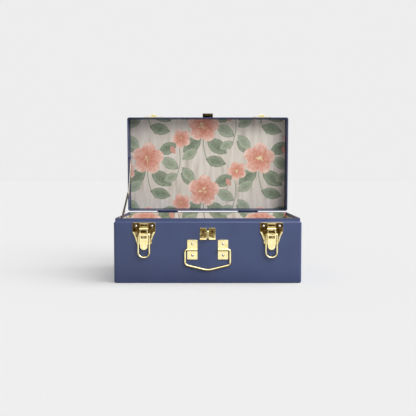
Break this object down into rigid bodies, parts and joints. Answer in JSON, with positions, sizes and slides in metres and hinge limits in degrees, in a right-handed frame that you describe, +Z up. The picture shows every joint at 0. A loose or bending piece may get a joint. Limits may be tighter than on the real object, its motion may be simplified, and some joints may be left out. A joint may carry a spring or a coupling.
{
  "type": "storage trunk",
  "caption": "Shallow painted sheet-steel storage trunk with a hinged lid on a jointed stay, printed paper lining, draw latches, hasp and staple, and a front bail handle.",
  "frame": {"origin": "middle of the trunk's underside, where it rests", "axes": "+X to the trunk's right seen from the front, +Y to its back, +Z up"},
  "size_m": [0.3312, 0.2448, 0.3183],
  "materials": {
    "navy_enamel": "satin enamel",
    "brass": "polished, lightly tarnished",
    "zinc_steel": "zinc plated",
    "lining_paper": "matt, printed"
  },
  "bodies": {
    "base": {"base_walls": "navy_enamel", "base_floor": "navy_enamel", "liner_floor": "lining_paper", "liner_front": "lining_paper", "liner_back": "lining_paper", "liner_left": "lining_paper", "liner_right": "lining_paper", "hinge_base_rivets": "navy_enamel", "latch_rivets": "zinc_steel", "staple": "brass", "staple_rivets": "zinc_steel", "handle_screws": "zinc_steel", "stay_base_bracket": "zinc_steel", "stay_base_rivets": "zinc_steel", "hinge_base_leaf_left": "navy_enamel", "hinge_pin_left": "navy_enamel", "latch_plate_left": "brass", "latch_pin_left": "zinc_steel", "handle_bracket_left": "brass", "hinge_base_leaf_right": "navy_enamel", "hinge_pin_right": "navy_enamel", "latch_plate_right": "brass", "latch_pin_right": "zinc_steel", "handle_bracket_right": "brass"},
    "lid": {"lid_shell": "navy_enamel", "liner_lid": "lining_paper", "hinge_lid_rivets": "navy_enamel", "keeper_rivets": "zinc_steel", "hasp_plate": "brass", "hasp_pin": "zinc_steel", "hasp_rivets": "zinc_steel", "stay_lid_bracket": "zinc_steel", "stay_lid_rivets": "zinc_steel", "hinge_lid_leaf_left": "navy_enamel", "keeper_left": "brass", "hinge_lid_leaf_right": "navy_enamel", "keeper_right": "brass"},
    "latch_lever_left": {"latch_lever_left": "brass"},
    "latch_loop_left": {"latch_loop_left": "brass"},
    "latch_lever_right": {"latch_lever_right": "brass"},
    "latch_loop_right": {"latch_loop_right": "brass"},
    "handle_bail": {"handle_bail": "brass"},
    "hasp_strap": {"hasp_strap": "brass"},
    "stay_lower": {"stay_lower_arm": "zinc_steel"},
    "stay_upper": {"stay_upper_arm": "zinc_steel"}
  },
  "joints": [
    {"name": "lid_hinge", "type": "hinge", "parent": "base", "child": "lid", "pos_m": [0, 0.1005, 0.1124], "axis": [1, 0, 0], "range_deg": [0, 88]},
    {"name": "latch_lever_left", "type": "hinge", "parent": "base", "child": "latch_lever_left", "pos_m": [-0.1117, -0.0997, 0.0957], "axis": [1, 0, 0], "range_deg": [-140, 0]},
    {"name": "latch_loop_left", "type": "hinge", "parent": "latch_lever_left", "child": "latch_loop_left", "pos_m": [-0.1117, -0.0997, 0.0863], "axis": [-1, 0, 0], "range_deg": [0, 180]},
    {"name": "latch_lever_right", "type": "hinge", "parent": "base", "child": "latch_lever_right", "pos_m": [0.1117, -0.0997, 0.0957], "axis": [1, 0, 0], "range_deg": [-140, 0]},
    {"name": "latch_loop_right", "type": "hinge", "parent": "latch_lever_right", "child": "latch_loop_right", "pos_m": [0.1117, -0.0997, 0.0863], "axis": [-1, 0, 0], "range_deg": [0, 180]},
    {"name": "handle_swing", "type": "hinge", "parent": "base", "child": "handle_bail", "pos_m": [0, -0.098, 0.0595], "axis": [-1, 0, 0], "range_deg": [0, 150]},
    {"name": "hasp_fold", "type": "hinge", "parent": "lid", "child": "hasp_strap", "pos_m": [0, 0.09356, 0.31408], "axis": [1, 0, 0], "range_deg": [0, 180]},
    {"name": "stay_lower_turn", "type": "hinge", "parent": "base", "child": "stay_lower", "pos_m": [-0.1596, -0.0364, 0.106], "axis": [1, 0, 0], "range_deg": [-56.5, 0]},
    {"name": "stay_upper_turn", "type": "hinge", "parent": "lid", "child": "stay_upper", "pos_m": [-0.1579, 0.10232, 0.22653], "axis": [1, 0, 0], "range_deg": [-8.5, 0]}
  ],
  "couplings": [
    {"joint": "stay_lower_turn", "follows": "lid_hinge", "ratio": -0.63501},
    {"joint": "stay_upper_turn", "follows": "lid_hinge", "ratio": -0.091692}
  ]
}
